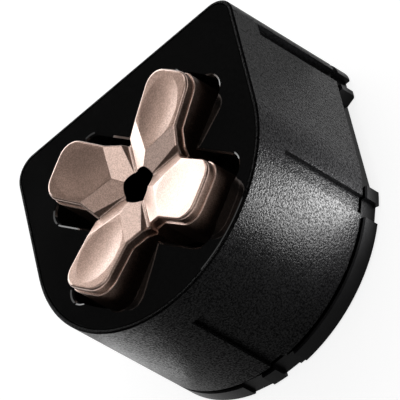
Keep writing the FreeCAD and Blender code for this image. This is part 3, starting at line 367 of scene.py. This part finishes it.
mask, tree, shader = new_finish("solder_mask", (0.010, 0.075, 0.035), 0.35)
weave = add_node(tree, "ShaderNodeTexWave", scale=WEAVE_PER_METRE, distortion=0.6)
tree.links.new(in_metres(tree), weave.inputs["Vector"])
greens = two_tones(
    tree, weave.outputs["Fac"], (0.008, 0.060, 0.028), (0.014, 0.090, 0.042), 0.0, 1.0
)
tree.links.new(greens, shader.inputs["Base Color"])
tree.links.new(between(tree, mottled(tree, 0.002), 0.28, 0.40), shader.inputs["Roughness"])
roughen(tree, shader, weave.outputs["Fac"], 0.000008)
dress(mask, "circuit_board")

nylon("moulding_compound", (0.012, 0.012, 0.013), (0.028, 0.028, 0.030), "board_chip")
nylon("ceramic", (0.30, 0.22, 0.15), (0.42, 0.33, 0.24), "board_passives")

# %% [markdown]
# ## The floor
# The photograph's ground is pure white. More light would only bleach the bronze, so the floor
# is a pale matt sheet, and rays from the camera or a mirror see it with a little glow added,
# which lifts it to white while the module's shadow stays.

# %% White floor
GROUND_GLOW = 0.85
REACH = 12.0
FLOOR_LEVEL = -0.0002


def sees_ground(tree):
    """1 for rays that come straight from the camera, a mirror or glass, and 0 for the rest."""
    path = add_node(tree, "ShaderNodeLightPath")
    mirror = add_node(tree, "ShaderNodeMath", operation="MAXIMUM")
    either = add_node(tree, "ShaderNodeMath", operation="MAXIMUM")
    tree.links.new(path.outputs["Is Glossy Ray"], mirror.inputs[0])
    tree.links.new(path.outputs["Is Transmission Ray"], mirror.inputs[1])
    tree.links.new(path.outputs["Is Camera Ray"], either.inputs[0])
    tree.links.new(mirror.outputs["Value"], either.inputs[1])
    return either.outputs["Value"]


paper, tree, shader = new_finish("white_paper", (0.35, 0.35, 0.35), 0.9)
shader.inputs["Specular IOR Level"].default_value = 0.0
shader.inputs["Emission Color"].default_value = (1.0, 1.0, 1.0, 1.0)
glow = add_node(tree, "ShaderNodeMath", operation="MULTIPLY")
glow.inputs[1].default_value = GROUND_GLOW
tree.links.new(sees_ground(tree), glow.inputs[0])
tree.links.new(glow.outputs["Value"], shader.inputs["Emission Strength"])

sheet = bpy.data.meshes.new("floor")
sheet.from_pydata(
    [(-REACH, -REACH, 0), (REACH, -REACH, 0), (REACH, REACH, 0), (-REACH, REACH, 0)],
    [],
    [(0, 1, 2, 3)],
)
floor = bpy.data.objects.new("floor", sheet)
floor.location.z = FLOOR_LEVEL
sheet.materials.append(paper)
bpy.context.scene.collection.objects.link(floor)
print("floor is", 2 * REACH, "m wide")

# %% [markdown]
# ## The surroundings
# The module stands in a dark studio with a grey horizon. A single grey all round would be
# simpler, but the gloss face mirrors the ceiling, and only a dark one keeps it black. The
# change from horizon to ceiling lies below the angle that the face mirrors.

# %% Grey horizon, dark ceiling
HORIZON = (0.25, 0.25, 0.25)
CEILING = (0.03, 0.03, 0.03)
HORIZON_TOP = 0.05
CEILING_START = 0.12

world = bpy.data.worlds.new("studio")
bpy.context.scene.world = world
world.use_nodes = True
tree = world.node_tree
sky = tree.nodes["Background"]
where = add_node(tree, "ShaderNodeTexCoord")
height = add_node(tree, "ShaderNodeSeparateXYZ")
tree.links.new(where.outputs["Generated"], height.inputs["Vector"])
shade = two_tones(
    tree, height.outputs["Z"], HORIZON, CEILING, HORIZON_TOP, CEILING_START
)
tree.links.new(shade, sky.inputs["Color"])
print("surroundings run from", HORIZON[0], "down to", CEILING[0])

# %% [markdown]
# ## The lamps
# Four soft boxes light the cross. The large one overhead gives the plain level. One stands
# low behind the module, as the camera sees it: the right arm of the cross mirrors it and turns
# almost white, while the gloss face looks just over its top and stays black. Two smaller ones
# stand high at the sides, for the facets that lean that way.
#
# The wall can't mirror any of them. The camera looks down on it, so what it mirrors lies on
# the floor. Three small panels lie there, facing up, and each gives one sheen: the bright
# grainy patch at the right, the pale edge at the bottom left and the glow on the flat wall.

# %% Four soft boxes and three floor panels
def aside(azimuth, elevation, distance):
    """A place seen from the middle of the face, in degrees and metres."""
    a = math.radians(azimuth)
    e = math.radians(elevation)
    away = Vector((math.cos(a) * math.cos(e), math.sin(a) * math.cos(e), math.sin(e)))
    return FACE_CENTRE + away * distance


def soft_box(name, place, aim, width, height, brightness, turned=0.0):
    """A lamp that faces its aim, turned about that line. At brightness 1 it is just white."""
    lamp = bpy.data.lights.new(name, "AREA")
    lamp.shape = "RECTANGLE"
    lamp.size = width
    lamp.size_y = height
    lamp.energy = brightness * math.pi * width * height
    box = bpy.data.objects.new(name, lamp)
    box.location = place
    box.rotation_mode = "QUATERNION"
    facing = (place - aim).to_track_quat("Z", "Y")
    box.rotation_quaternion = facing @ Quaternion((0.0, 0.0, 1.0), math.radians(turned))
    box.visible_camera = False
    bpy.context.scene.collection.objects.link(box)
    print(name, "gives", round(lamp.energy, 3), "W")


soft_box("overhead", aside(347.0, 74.0, 0.70), FACE_CENTRE, 0.60, 0.60, 1.15)
soft_box("low_behind", aside(168.0, 15.5, 0.50), FACE_CENTRE, 0.50, 0.27, 3.0, turned=12.0)
soft_box("high_left", aside(122.0, 48.0, 0.60), FACE_CENTRE, 0.40, 0.36, 1.4)
soft_box("high_right", aside(214.0, 58.0, 0.60), FACE_CENTRE, 0.26, 0.26, 0.7)


PANEL_LEVEL = 0.0004
STRAIGHT_UP = Vector((0.0, 0.0, 1.0))


def floor_panel(name, x, y, width, height, brightness, turned=0.0):
    """A lamp that lies on the floor and faces up, for a piece of wall to mirror."""
    place = Vector((x, y, PANEL_LEVEL))
    above = place + STRAIGHT_UP
    soft_box(name, place, above, width, height, brightness, turned)


floor_panel("glow_right", 0.032, 0.0105, 0.024, 0.013, 80.0, turned=30.0)
floor_panel("glow_low", -0.014, -0.033, 0.020, 0.022, 2.2)
floor_panel("glow_flat", 0.0096, 0.0215, 0.026, 0.0045, 1.3, turned=45.0)

# %% [markdown]
# ## Update the scene
# Blender brings the dressed pieces, the floor and the lamps up to date. The dressed module
# has to stay inside the box of the CAD model.

# %% Update the scene
bpy.context.view_layer.update()
